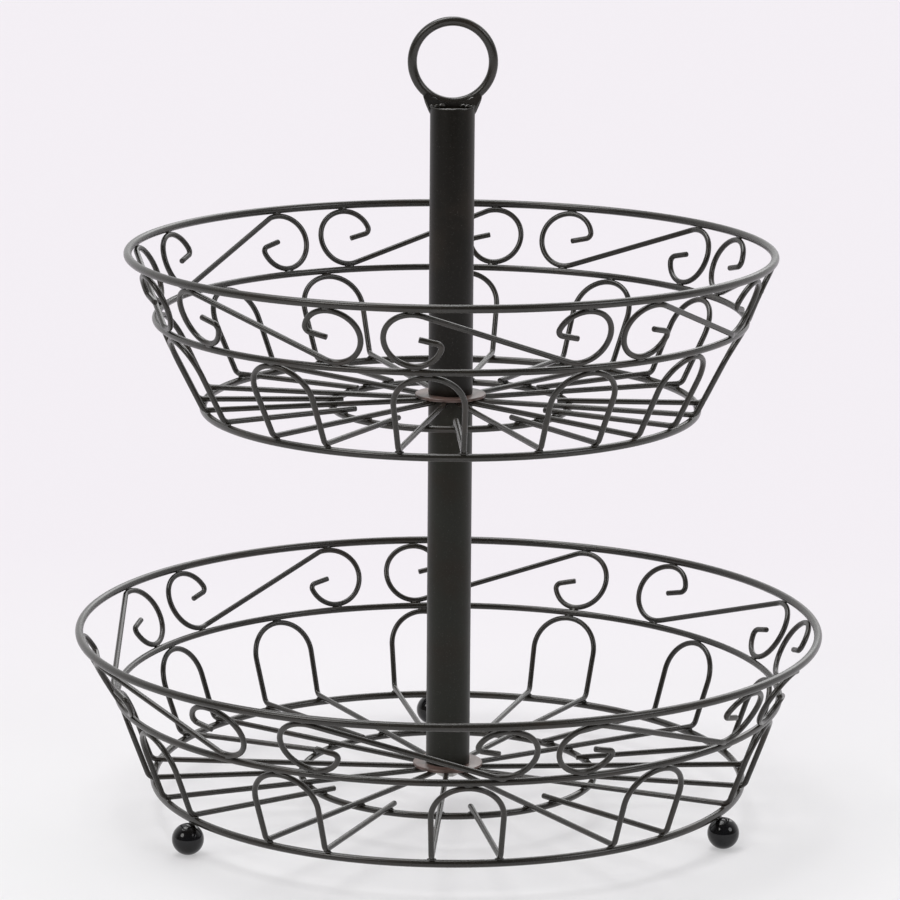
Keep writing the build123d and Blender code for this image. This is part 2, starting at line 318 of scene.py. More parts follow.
def coat_texture_group():
    """Powder coat: cloudy thin patches, fine orange peel, and pale dust specks."""
    name = "coat_texture"
    if name in bpy.data.node_groups:
        return bpy.data.node_groups[name]
    group = bpy.data.node_groups.new(name, "ShaderNodeTree")
    for label, kind, value in (
            ("Coat", "NodeSocketColor", (0.02, 0.02, 0.02, 1)),
            ("Thin Coat", "NodeSocketColor", (0.04, 0.03, 0.02, 1)),
            ("Cloud Scale", "NodeSocketFloat", 45.0),
            ("Peel Scale", "NodeSocketFloat", 1500.0),
            ("Roughness", "NodeSocketFloat", 0.4),
            ("Roughness Spread", "NodeSocketFloat", 0.12),
            ("Dust", "NodeSocketFloat", 0.3)):
        socket = group.interface.new_socket(label, in_out="INPUT", socket_type=kind)
        socket.default_value = value
    for label, kind in (
            ("Color", "NodeSocketColor"), ("Roughness", "NodeSocketFloat"), ("Height", "NodeSocketFloat")):
        group.interface.new_socket(label, in_out="OUTPUT", socket_type=kind)
    graph = ShaderNodes(group)
    given = graph.add("NodeGroupInput").outputs
    place = graph.place()
    cloud = graph.noise(place, given["Cloud Scale"], detail=4.0)
    peel = graph.noise(place, given["Peel Scale"], detail=1.5)
    speck = graph.noise(place, 2600.0, detail=0.0)
    thin = graph.ramp(cloud, low=0.46, high=0.72)
    dust = graph.math("MULTIPLY", graph.ramp(speck, low=0.74, high=0.82), given["Dust"])
    dust_colour = (0.16, 0.155, 0.15, 1)
    dust_roughness = 0.3
    coat = graph.mix(thin, given["Coat"], given["Thin Coat"])
    swing = graph.math("MULTIPLY", graph.math("SUBTRACT", cloud, 0.5), given["Roughness Spread"])
    rough = graph.math("ADD", given["Roughness"], swing)
    graph.feed_all(graph.add("NodeGroupOutput"), {
        "Color": graph.mix(dust, coat, dust_colour),
        "Roughness": graph.math("ADD", rough, graph.math("MULTIPLY", dust, dust_roughness)),
        "Height": graph.math("ADD", peel, dust),
    })
    return group


def blank_material(name):
    """A new material and the means to add to its nodes."""
    material = bpy.data.materials.new(name)
    material.use_nodes = True
    return material, ShaderNodes(material.node_tree)


def coated_material(name, coat, roughness, thin=None, cloud_scale=60, peel_scale=1700, dust=0.25,
                    peel_depth=0.00002, clear_coat=0, specular=0.5):
    """A coated-metal material; the shader itself stays here, its texture in the group."""
    if name in bpy.data.materials:
        return bpy.data.materials[name]
    material, graph = blank_material(name)
    texture = graph.add("ShaderNodeGroup")
    texture.node_tree = coat_texture_group()
    graph.feed_all(texture, {
        "Coat": (*coat, 1),
        "Thin Coat": (*(thin or finish_values().warm_colour), 1),
        "Cloud Scale": cloud_scale,
        "Peel Scale": peel_scale,
        "Roughness": roughness,
        "Dust": dust,
    })
    graph.feed_all(material.node_tree.nodes["Principled BSDF"], {
        "Base Color": texture.outputs["Color"],
        "Roughness": texture.outputs["Roughness"],
        "Normal": graph.bump(texture.outputs["Height"], peel_depth, strength=0.35),
        "Specular IOR Level": specular,
        "Coat Weight": clear_coat,
        "Coat Roughness": 0.08,
    })
    return material


def wire_coat():
    """Semi-gloss charcoal coat of the wires."""
    f = finish_values()
    return coated_material(
        "wire_powder_coat", f.wire_colour, f.wire_roughness, peel_depth=0.000015, specular=0.6)


def tube_coat(name, colour):
    """Satin charcoal coat of the post's parts."""
    return coated_material(
        name, colour, finish_values().post_roughness,
        cloud_scale=28, peel_scale=1300, dust=0.3, specular=0.25)


def post_coat():
    """The coat of the upper tube and the saddle."""
    return tube_coat("post_powder_coat", finish_values().coat_colour)


def lower_tube_coat():
    """The post's coat on the lower tube, painted a shade lighter to stand in for the brighter light on it.
    """
    return tube_coat("lower_tube_powder_coat", finish_values().lower_tube_colour)


def plate_coat():
    """Thin, smooth warm coat of the hub plates, which mirrors the pale surroundings."""
    return coated_material(
        "plate_coat", finish_values().plate_colour, roughness=0.36,
        cloud_scale=70, peel_scale=1500, dust=0.05, peel_depth=0.00001, clear_coat=0.1)


def weld_coat():
    """The wires' coat over the weld beads, glossier where it has flowed together."""
    return coated_material(
        "weld_powder_coat", finish_values().wire_colour, roughness=0.16,
        cloud_scale=120, dust=0.2, clear_coat=0.3, specular=0.7)


def foot_enamel():
    """High-gloss black enamel of the ball feet."""
    f = finish_values()
    return coated_material(
        "foot_enamel", f.enamel_colour, f.enamel_roughness, thin=f.coat_colour,
        cloud_scale=90, peel_scale=700, dust=0.1, peel_depth=0.000006, specular=0.4)


def plated_steel():
    """Zinc-plated steel with fine turning marks and a dull bloom."""
    name = "plated_steel"
    if name in bpy.data.materials:
        return bpy.data.materials[name]
    material, graph = blank_material(name)
    place = graph.place()
    marks = graph.add("ShaderNodeTexWave")
    marks.bands_direction = "Z"
    graph.feed_all(marks, {"Vector": place, "Scale": 900, "Distortion": 1.5})
    bloom = graph.noise(place, 240, detail=3.0)
    bloom_colour = (0.42, 0.41, 0.36, 1)
    polish, bloom_roughness = 0.25, 0.2
    graph.feed_all(material.node_tree.nodes["Principled BSDF"], {
        "Base Color": graph.mix(bloom, (*finish_values().steel_colour, 1), bloom_colour),
        "Roughness": graph.math("ADD", graph.math("MULTIPLY", bloom, bloom_roughness), polish),
        "Normal": graph.bump(marks.outputs["Fac"], depth=0.00004),
        "Metallic": 1,
    })
    return material


# Mesh tools


def add_piece(name, bm, body, material, nodes=()):
    """Turns a bmesh into a smooth-shaded piece that rides a body."""
    mesh = bpy.data.meshes.new(name)
    bmesh.ops.recalc_face_normals(bm, faces=bm.faces)
    bm.to_mesh(mesh)
    bm.free()
    mesh.shade_smooth()
    mesh.materials.append(material)
    piece = bpy.data.objects.new(name, mesh)
    bpy.context.scene.collection.objects.link(piece)
    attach(piece, body)
    if nodes:
        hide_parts(*nodes)


def dress_node(node, material):
    """Gives a solid of the frame its finish and leaves its shape as it is."""
    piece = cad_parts[node]
    piece.data.materials.clear()
    piece.data.materials.append(material)


def circle_points(centre, first, second, radius, count):
    """Points round a circle, from its first direction towards its second."""
    turns = [2 * pi * k / count for k in range(count)]
    return [centre + (first * cos(turn) + second * sin(turn)) * radius for turn in turns]


def bridge(bm, low, high):
    """Faces between two closed rows of points, either of which may be a single point."""
    count = max(len(low), len(high))
    for k in range(count):
        after = (k + 1) % count
        corners = (low[k % len(low)], low[after % len(low)], high[after % len(high)], high[k % len(high)])
        bm.faces.new(list(dict.fromkeys(corners)))


def sweep_circle(bm, points, radius, closed=False, sides=20, edge=0.0):
    """Sweeps a round section along points, with small rounded rims at cut ends."""
    count = len(points)
    ways = []
    for k in range(count):
        before = points[k - 1] if closed or k else points[0]
        after = points[(k + 1) % count] if closed or k < count - 1 else points[-1]
        ways.append((after - before).normalized())
    side = ways[0].orthogonal().normalized()
    sections = []
    for point, way in zip(points, ways):
        side = (side - way * side.dot(way)).normalized()
        sections.append((point, way, side, radius))
    if not closed:
        # Rows of the rounded rim, from the cut end inward
        ease = edge * 0.3
        rim = [(0, radius - edge), (ease, radius - ease), (edge, radius)]
        start, way, side, _ = sections[0]
        first = [(start + way * inset, way, side, size) for inset, size in rim]
        end, way, side, _ = sections[-1]
        last = [(end - way * inset, way, side, size) for inset, size in reversed(rim)]
        sections = first + sections[1:-1] + last
    loops = []
    for centre, way, side, size in sections:
        corners = circle_points(centre, side, way.cross(side), size, sides)
        loops.append([bm.verts.new(corner) for corner in corners])
    for low, high in zip(loops, loops[1:]):
        bridge(bm, low, high)
    if closed:
        # The section turns a little on its way round, so the last row starts at the nearest corner
        start, last = loops[0][0].co, loops[-1]
        twist = min(range(sides), key=lambda j: (last[j].co - start).length)
        bridge(bm, last[twist:] + last[:twist], loops[0])
    else:
        bm.faces.new(loops[0])
        bm.faces.new(loops[-1])


def lathe(bm, outline, segments=96):
    """Turns an outline of (radius, height) pairs about the vertical axis; radius zero closes it."""
    rows = []
    for radius, height in outline:
        corners = circle_points(UP * height, ACROSS, BACK, radius, segments if radius else 1)
        rows.append([bm.verts.new(corner) for corner in corners])
    for low, high in zip(rows, rows[1:]):
        bridge(bm, low, high)


def rounded_outline(corners, edge):
    """An outline with each inner corner eased over three points."""
    eased = [corners[0]]
    for before, corner, after in zip(corners, corners[1:], corners[2:]):
        here = Vector(corner)
        back = Vector(before) - here
        ahead = Vector(after) - here
        reach = min(edge, back.length / 3, ahead.length / 3)
        start = here + back.normalized() * reach
        end = here + ahead.normalized() * reach
        middle = (start + end) / 4 + here / 2
        eased += [tuple(start), tuple(middle), tuple(end)]
    eased.append(corners[-1])
    return eased


def weld_bead(bm, centre, along, length, width, seed):
    """A small lumpy weld bead centred on a joint, longest along the given direction."""
    lump_scale, lump_depth = 1.7, shape().bead_lumps
    # Each seed takes its lumps from another place in the noise
    shift = Vector((seed, seed * 0.37, 0))
    made = bmesh.ops.create_icosphere(bm, subdivisions=3, radius=1)
    along = along.normalized()
    side = along.orthogonal().normalized()
    turn = Matrix((along, side, along.cross(side))).transposed()
    for vert in made["verts"]:
        lump = 1 + lump_depth * noise.noise(vert.co * lump_scale + shift)
        scaled = Vector((vert.co.x * length / 2, vert.co.y * width / 2, vert.co.z * width / 2)) * lump
        vert.co = centre + turn @ scaled


# Places on a tier


def outward(angle):
    """Direction away from the post."""
    return Vector((cos(angle), sin(angle), 0))


def around(angle):
    """Direction round the post, anticlockwise from above."""
    return Vector((-sin(angle), cos(angle), 0))


def turned(points, angle):
    """Points turned about the post."""
    turn = Matrix.Rotation(angle, 3, "Z")
    return [turn @ point for point in points]


def arc_points(start, way, end):
    """Points after the start of an arc that leaves it in a direction and reaches the end."""
    straight_share, straight_steps, largest_turn = 1e-4, 6, radians(6)
    chord = end - start
    side = chord - way * chord.dot(way)
    if side.length < chord.length * straight_share:
        return [start + chord * k / straight_steps for k in range(1, straight_steps + 1)]
    half = atan2(side.length, chord.dot(way))
    radius = chord.length / (2 * sin(half))
    inward = side.normalized()
    steps = max(2, ceil(2 * half / largest_turn))
    turns = [2 * half * k / steps for k in range(1, steps + 1)]
    return [start + way * (radius * sin(t)) + inward * (radius * (1 - cos(t))) for t in turns]


def smooth_span(start, end):
    """Points from one station to the next, along two arcs that share a tangent."""
    point_a, way_a = start
    point_b, way_b = end
    chord = point_b - point_a
    spread = 2 * (1 - way_a.dot(way_b))
    pull = chord.dot(way_a + way_b)
    reach = chord.dot(chord) / (sqrt(pull * pull + spread * chord.dot(chord)) + pull)
    corner_a = point_a + way_a * reach
    corner_b = point_b - way_b * reach
    joint = (corner_a + corner_b) / 2
    joint_way = (corner_b - corner_a).normalized()
    return arc_points(point_a, way_a, joint) + arc_points(joint, joint_way, point_b)


def spread_turns(count, first, offsets):
    """Directions of evenly spaced copies, each moved by its own offset in degrees."""
    return [first + 2 * pi * k / count + radians(offsets[k % len(offsets)]) for k in range(count)]


class Tier:
    """Sizes of one tier, read from the frame and the shape settings."""

    def __init__(self, name):
        s = shape()
        self.name = name
        self.body = TIERS[name]
        self.rim_radius, self.rim_wire, self.rim_height = ring_size(f"{name}_rim_ring")
        self.middle_radius, self.middle_wire, self.middle_height = ring_size(f"{name}_middle_ring")
        self.base_radius, self.base_wire, self.base_height = ring_size(f"{name}_base_ring")
        self.hub_radius, self.hub_wire, self.hub_height = ring_size(f"{name}_hub_ring")
        self.foot_spacing = getattr(s, f"{name}_arch_foot_spacing")
        self.scroll_gap = getattr(s, f"{name}_scroll_gap")
        self.arch_turn = getattr(s, f"{name}_arch_turn")
        self.arch_offsets = getattr(s, f"{name}_arch_offsets")
        self.scroll_turn = getattr(s, f"{name}_scroll_turn")
        self.scroll_offsets = getattr(s, f"{name}_scroll_offsets")
        self.floor_height = self.base_height + self.base_wire / 2 + s.weld_gap + s.filler_wire / 2
        self.spoke_end = outer_radius("lower_post_tube") + s.spoke_clearance

    def arch_points(self):
        """Centre line of an arch wire on angle zero, its half angle, and where it meets the middle ring."""
        s = shape()
        height = self.middle_height - self.floor_height
        slant = Vector((self.middle_radius - self.base_radius, 0, height)).normalized()
        foot_radius = self.base_radius + s.arch_bend_radius * tan(acos(slant.x) / 2)
        rise = Vector((self.middle_radius - foot_radius, 0, height))
        lean = rise.normalized()
        bend = acos(lean.x)
        setback = s.arch_bend_radius * tan(bend / 2)
        half = asin(self.foot_spacing / 2 / self.base_radius)
        apex = rise.length - (self.middle_wire + s.filler_wire) / 2 - s.weld_gap
        arch_radius = (foot_radius + lean.x * apex) * sin(half)
        shoulder = apex - arch_radius

        def on_wall(angle, along):
            """The place in the wall at a direction, so far up its slope."""
            radius = foot_radius + lean.x * along
            return outward(angle) * radius + UP * (self.floor_height + lean.z * along)

        def spoke(angle, start, end, steps=24):
            """Points outward along a spoke, without the last."""
            return [
                outward(angle) * (start + (end - start) * k / steps) + UP * self.floor_height
                for k in range(steps)
            ]

        def corner(angle, steps=10):
            """Points round the bend from spoke to leg, without the last."""
            centre_radius = foot_radius - setback
            centre = outward(angle) * centre_radius + UP * (self.floor_height + s.arch_bend_radius)
            turns = [bend * k / steps for k in range(steps)]
            return [centre + (outward(angle) * sin(t) - UP * cos(t)) * s.arch_bend_radius for t in turns]

        def leg(angle, steps=10):
            """Points up a leg, without the last."""
            return [on_wall(angle, setback + (shoulder - setback) * k / steps) for k in range(steps)]

        top_steps = 36
        points = spoke(-half, self.spoke_end, foot_radius - setback)
        points += corner(-half) + leg(-half)
        for k in range(top_steps + 1):
            turn = pi - pi * k / top_steps
            points.append(on_wall(half * cos(turn), shoulder + arch_radius * sin(turn)))
        points += list(reversed(leg(half))) + list(reversed(corner(half)))
        short = spoke(half, self.hub_radius - s.short_spoke_overrun, foot_radius - setback)
        points += list(reversed(short))
        # The weld lies halfway between the centre lines of arch and ring
        return points, half, on_wall(0, apex + (self.middle_wire + s.filler_wire) / 4)

    def arch_angles(self):
        """Direction of each arch."""
        return spread_turns(shape().arch_count, self.arch_turn, self.arch_offsets)

    def scroll_points(self):
        """Centre line of a scroll wire on angle zero, and the places where it meets the rings."""
        s = shape()
        wall = Vector((self.rim_radius - self.middle_radius, 0, self.rim_height - self.middle_height))
        lean = wall.normalized()
        low = (self.middle_wire + s.filler_wire) / 2 + s.weld_gap
        high = wall.length - (self.rim_wire + s.filler_wire) / 2 - s.weld_gap
        curl = (high - low) / 2
        middle_along = (low + high) / 2
        middle_radius = self.middle_radius + lean.x * middle_along
        pitch = middle_radius * 2 * pi / s.scroll_count
        reach = (pitch - 2 * curl - s.filler_wire - self.scroll_gap) / 2
        slope = asin(curl / reach)

        def on_wall(x, y):
            """The place in the wall, so far round and up from the scroll's middle."""
            along = middle_along + y
            radius = self.middle_radius + lean.x * along
            return outward(x / middle_radius) * radius + UP * (self.middle_height + lean.z * along)

        def arc(centre, radius, start, end):
            """Stations after the start of an arc in the flat wall, each with its heading."""
            largest_turn, slack = radians(40), 1e-4
            steps = ceil(abs(end - start) / largest_turn - slack)
            turns = [start + (end - start) * k / steps for k in range(1, steps + 1)]
            return [(centre[0] + radius * cos(t), centre[1] + radius * sin(t), t + pi / 2) for t in turns]

        # Half of the wire, rolled out flat: straight, curl, inner arc, hook and tip
        half = [(reach - curl * sin(slope), -curl * cos(slope), -slope)]
        half += arc((reach, 0), curl, -pi / 2 - slope, -pi / 2)
        half += arc((reach, 0), curl, -pi / 2, pi / 2)
        inner = (reach, curl - s.scroll_inner_radius)
        half += arc(inner, s.scroll_inner_radius, pi / 2, s.scroll_inner_end)
        offset = s.scroll_inner_radius - s.scroll_hook_radius
        hook = (inner[0] + offset * cos(s.scroll_inner_end), inner[1] + offset * sin(s.scroll_inner_end))
        half += arc(hook, s.scroll_hook_radius, s.scroll_inner_end, s.scroll_hook_end)
        x, y, heading = half[-1]
        tip = (x + s.scroll_tip_length * cos(heading), y + s.scroll_tip_length * sin(heading), heading)
        half.append(tip)
        stations = []
        for x, y, heading in [(-x, -y, heading) for x, y, heading in reversed(half)] + half:
            angle = x / middle_radius
            stretch = (self.middle_radius + lean.x * (middle_along + y)) / middle_radius
            rise = outward(angle) * lean.x + UP * lean.z
            way = around(angle) * (stretch * cos(heading)) + rise * sin(heading)
            stations.append((on_wall(x, y), way.normalized()))
        joint = len(half)
        straight = (stations[joint][0] - stations[joint - 1][0]).normalized()
        for k in (joint - 1, joint):
            stations[k] = (stations[k][0], straight)
        points = [stations[0][0]]
        for start, end in zip(stations, stations[1:]):
            points += smooth_span(start, end)
        # The welds lie halfway between the centre lines of scroll and rings
        touch = []
        for x in (-reach, reach):
            touch.append(on_wall(x, curl + (self.rim_wire + s.filler_wire) / 4))
            touch.append(on_wall(x, -curl - (self.middle_wire + s.filler_wire) / 4))
        return points, touch

    def scroll_angles(self):
        """Direction of each scroll."""
        return spread_turns(shape().scroll_count, self.scroll_turn, self.scroll_offsets)


# Wires, bored pieces and the handle


def add_filler_wires(tier, kind, points, angles):
    """A smooth wire in the place of each arch or scroll of a tier."""
    s = shape()
    digits = len(str(len(angles)))
    for k, angle in enumerate(angles):
        bm = bmesh.new()
        sweep_circle(bm, turned(points, angle), s.filler_wire / 2, edge=s.edge_round)
        node = f"{tier.name}_{kind}_{k + 1:0{digits}d}"
        add_piece(f"{node}_wire", bm, tier.body, wire_coat(), [node])


def add_bored_piece(node, bore, suffix, body, material):
    """A turned tube or plate with a bore and eased edges, in the place of its node."""
    low, high, extent = box_sizes(node)
    radius, middle = extent.x / 2, (low.z + high.z) / 2
    corners = [
        (bore, middle), (bore, low.z), (radius, low.z),
        (radius, high.z), (bore, high.z), (bore, middle),
    ]
    bm = bmesh.new()
    lathe(bm, rounded_outline(corners, shape().edge_round))
    bmesh.ops.remove_doubles(bm, verts=bm.verts, dist=SEAM_MERGE)
    add_piece(f"{node}_{suffix}", bm, body, material, [node])


class Handle:
    """Sizes of the handle ring and of what it stands on, and the weld beads between them."""

    def __init__(self):
        low, high, extent = box_sizes("handle_ring")
        self.wire = extent.y
        self.radius = (extent.x - self.wire) / 2
        self.centre = (low.z + high.z) / 2
        self.ear = outer_radius("ring_saddle")
        self.cheek = shape().saddle_thickness / 2
        self.tube_top = box_sizes("upper_post_tube")[1].z
        self.tube_radius = outer_radius("upper_post_tube")

    def add_ear_bead(self, bm, side):
        """A web of weld from the tube's shoulder up to the ring, past one ear of the saddle."""
        seat_share, foot_share, foot_drop = 0.97, 0.94, 0.8
        length_share, width_share = 1.3, 0.4
        outer = self.radius + self.wire / 2
        seat = Vector((side * self.ear * seat_share, 0, self.centre - sqrt(outer ** 2 - self.ear ** 2)))
        foot = Vector((side * self.tube_radius * foot_share, 0, self.tube_top - self.wire * foot_drop))
        span = seat - foot
        weld_bead(
            bm, (seat + foot) / 2, span, span.length * length_share, self.wire * width_share, seed=3 + side)

    def add_ring_bead(self, bm, side, front):
        """A bead in the groove between ring and saddle, on one side and face."""
        from_bottom, outset, face_share = radians(26), 0.15, 0.5
        length_share, width_share = 1.1, 0.5
        angle = side * from_bottom - pi / 2
        place = Vector((cos(angle), 0, sin(angle))) * (self.radius + self.wire * outset)
        place += Vector((0, front * self.wire * face_share, self.centre))
        weld_bead(
            bm, place, Vector((-sin(angle), 0, cos(angle))), self.wire * length_share,
            self.wire * width_share, seed=7 + side + front * 0.4)

    def add_foot_beads(self, bm, side, front):
        """Three beads in a row along the saddle's foot, where it stands on the tube."""
        reach_share, reach_step = 0.86, 0.2
        lift, lift_step, outset = 0.14, 0.05, 0.06
        length_share, width_share, slope = 0.75, 0.44, 0.25
        for run in range(3):
            place = Vector((
                side * self.tube_radius * (reach_share - reach_step * run),
                front * (self.cheek + self.wire * outset),
                self.tube_top + self.wire * (lift + lift_step * run)))
            weld_bead(
                bm, place, Vector((1, 0, slope * side)), self.wire * length_share,
                self.wire * width_share, seed=31 + run + side + front * 0.3)

    def add_collar_beads(self, bm):
        """A ring of beads round the top of the tube."""
        count, radius_share, drop = 10, 0.92, 0.05
        length_share, width_share = 0.75, 0.26
        for k in range(count):
            angle = 2 * pi * k / count
            place = outward(angle) * self.tube_radius * radius_share
            place += UP * (self.tube_top - self.wire * drop)
            weld_bead(
                bm, place, around(angle), self.tube_radius * length_share,
                self.wire * width_share, seed=11 + k)


# Operators


class BASKET_OT_rings(bpy.types.Operator):
    """Builds the rim, middle, base and hub rings of both tiers"""

    bl_idname = "basket.rings"
    bl_label = "Rings"

    def execute(self, context):
        for name, body in TIERS.items():
            for kind in ("rim", "middle", "base", "hub"):
                node = f"{name}_{kind}_ring"
                radius, wire, height = ring_size(node)
                points = circle_points(UP * height, ACROSS, BACK, radius, count=240)
                bm = bmesh.new()
                sweep_circle(bm, points, wire / 2, closed=True, sides=24)
                add_piece(f"{node}_wire", bm, body, wire_coat(), [node])
        return {"FINISHED"}


class BASKET_OT_arches(bpy.types.Operator):
    """Builds the arch wires that stand in the wall and run inward as floor spokes"""

    bl_idname = "basket.arches"
    bl_label = "Arch wires"

    def execute(self, context):
        for tier in map(Tier, TIERS):
            add_filler_wires(tier, "arch", tier.arch_points()[0], tier.arch_angles())
        return {"FINISHED"}


class BASKET_OT_scrolls(bpy.types.Operator):
    """Builds the S-shaped scroll wires between middle ring and rim"""

    bl_idname = "basket.scrolls"
    bl_label = "Scroll wires"

    def execute(self, context):
        for tier in map(Tier, TIERS):
            add_filler_wires(tier, "scroll", tier.scroll_points()[0], tier.scroll_angles())
        return {"FINISHED"}


class BASKET_OT_welds(bpy.types.Operator):
    """Builds the weld beads where the wires meet the rings and the plates"""

    bl_idname = "basket.welds"
    bl_label = "Weld beads"

    def execute(self, context):
        s = shape()
        spoke_length, spoke_width = s.weld_length * s.spoke_bead_share, s.weld_width * s.spoke_bead_share
        for tier in map(Tier, TIERS):
            bm = bmesh.new()
            seed = 0
            _, half, arch_touch = tier.arch_points()
            scroll_touch = tier.scroll_points()[1]
            foot_height = tier.base_height + (tier.base_wire + s.weld_gap) / 2
            hub_height = tier.hub_height + (tier.hub_wire + s.weld_gap) / 2
            plate_height = tier.floor_height + s.filler_wire / 2
            plate_middle = (tier.spoke_end + outer_radius(f"{tier.name}_hub_disc")) / 2
            for angle in tier.arch_angles():
                seed += 1
                place = turned([arch_touch], angle)[0]
                weld_bead(bm, place, around(angle), s.weld_length, s.weld_width, seed)
                for way in (angle - half, angle + half):
                    seed += 1
                    place = outward(way) * tier.base_radius + UP * foot_height
                    weld_bead(bm, place, around(way), spoke_length, spoke_width, seed)
                    place = outward(way) * tier.hub_radius + UP * hub_height
                    weld_bead(bm, place, around(way), spoke_length, spoke_width, seed + 0.5)
                long_way = outward(angle - half)
                place = long_way * plate_middle + UP * plate_height
                weld_bead(bm, place, long_way, s.weld_length * s.plate_bead_share, s.weld_width, seed + 0.7)
            for angle in tier.scroll_angles():
                for place in turned(scroll_touch, angle):
                    seed += 1
                    way = atan2(place.y, place.x)
                    weld_bead(bm, place, around(way), s.weld_length, s.weld_width, seed)
            add_piece(f"{tier.name}_weld_beads", bm, tier.body, weld_coat())
        return {"FINISHED"}


class BASKET_OT_feet(bpy.types.Operator):
    """Builds the glossy ball feet, each with the weld that holds it to the base ring"""

    bl_idname = "basket.feet"
    bl_label = "Ball feet"

    def execute(self, context):
        s = shape()
        base_radius, base_wire, base_height = ring_size("lower_base_ring")
        for k in range(3):
            node = f"ball_foot_{k + 1}"
            low, high, extent = box_sizes(node)
            radius = extent.x / 2
            centre_height = high.z - radius
            flat_angle = acos(centre_height / radius)
            rows = 40
            outline = [(0, low.z)]
            for j in range(rows):
                polar = flat_angle + (pi - flat_angle) * j / rows
                outline.append((radius * sin(polar), centre_height - radius * cos(polar)))
            outline.append((0, high.z))
            bm = bmesh.new()
            lathe(bm, outline, segments=64)
            middle = Vector(((low.x + high.x) / 2, (low.y + high.y) / 2, 0))
            bmesh.ops.translate(bm, verts=bm.verts, vec=middle)
            add_piece(f"{node}_ball", bm, "stand", foot_enamel(), [node])
            angle = atan2(middle.y, middle.x)
            bm = bmesh.new()
            ring_centre = outward(angle) * base_radius + UP * base_height
            toward_ball = (middle + UP * centre_height - ring_centre).normalized()
            place = ring_centre + toward_ball * base_wire / 2
            weld_bead(bm, place, around(angle), s.weld_length, s.weld_width, k + 0.3)
            add_piece(f"{node}_weld", bm, "stand", weld_coat())
        return {"FINISHED"}


class BASKET_OT_post(bpy.types.Operator):
    """Builds the two post tubes and the round plates that they clamp"""

    bl_idname = "basket.post"
    bl_label = "Post and plates"

    def execute(self, context):
        s = shape()
        bore = outer_radius("tube_inserts") + s.weld_gap
        # Painted light: the lower tube takes the coat painted lighter in place of the brighter light on it
        add_bored_piece("lower_post_tube", bore, "shell", "stand", lower_tube_coat())
        add_bored_piece("upper_post_tube", bore, "shell", "stand", post_coat())
        hole = outer_radius("joining_stud") + s.edge_round
        for name, body in TIERS.items():
            add_bored_piece(f"{name}_hub_disc", hole, "plate", body, plate_coat())
        return {"FINISHED"}


class BASKET_OT_handle(bpy.types.Operator):
    """Builds the upright handle ring, dresses its saddle and adds its welds"""

    bl_idname = "basket.handle"
    bl_label = "Ring handle"

    def execute(self, context):
        handle = Handle()
        points = circle_points(UP * handle.centre, ACROSS, UP, handle.radius, count=160)
        bm = bmesh.new()
        sweep_circle(bm, points, handle.wire / 2, closed=True, sides=28)
        add_piece("handle_ring_wire", bm, "stand", wire_coat(), ["handle_ring"])
        dress_node("ring_saddle", post_coat())
        bm = bmesh.new()
        for side in (-1, 1):
            handle.add_ear_bead(bm, side)
            for front in (-1, 1):
                handle.add_ring_bead(bm, side, front)
                handle.add_foot_beads(bm, side, front)
        handle.add_collar_beads(bm)
        add_piece("handle_weld_beads", bm, "stand", weld_coat())
        return {"FINISHED"}


class BASKET_OT_hardware(bpy.types.Operator):
    """Dresses the bolt, the joining stud and the tube inserts in plated steel"""

    bl_idname = "basket.hardware"
    bl_label = "Bolt and stud"

    def execute(self, context):
        for node in ("base_bolt", "joining_stud", "tube_inserts"):
            dress_node(node, plated_steel())
        return {"FINISHED"}


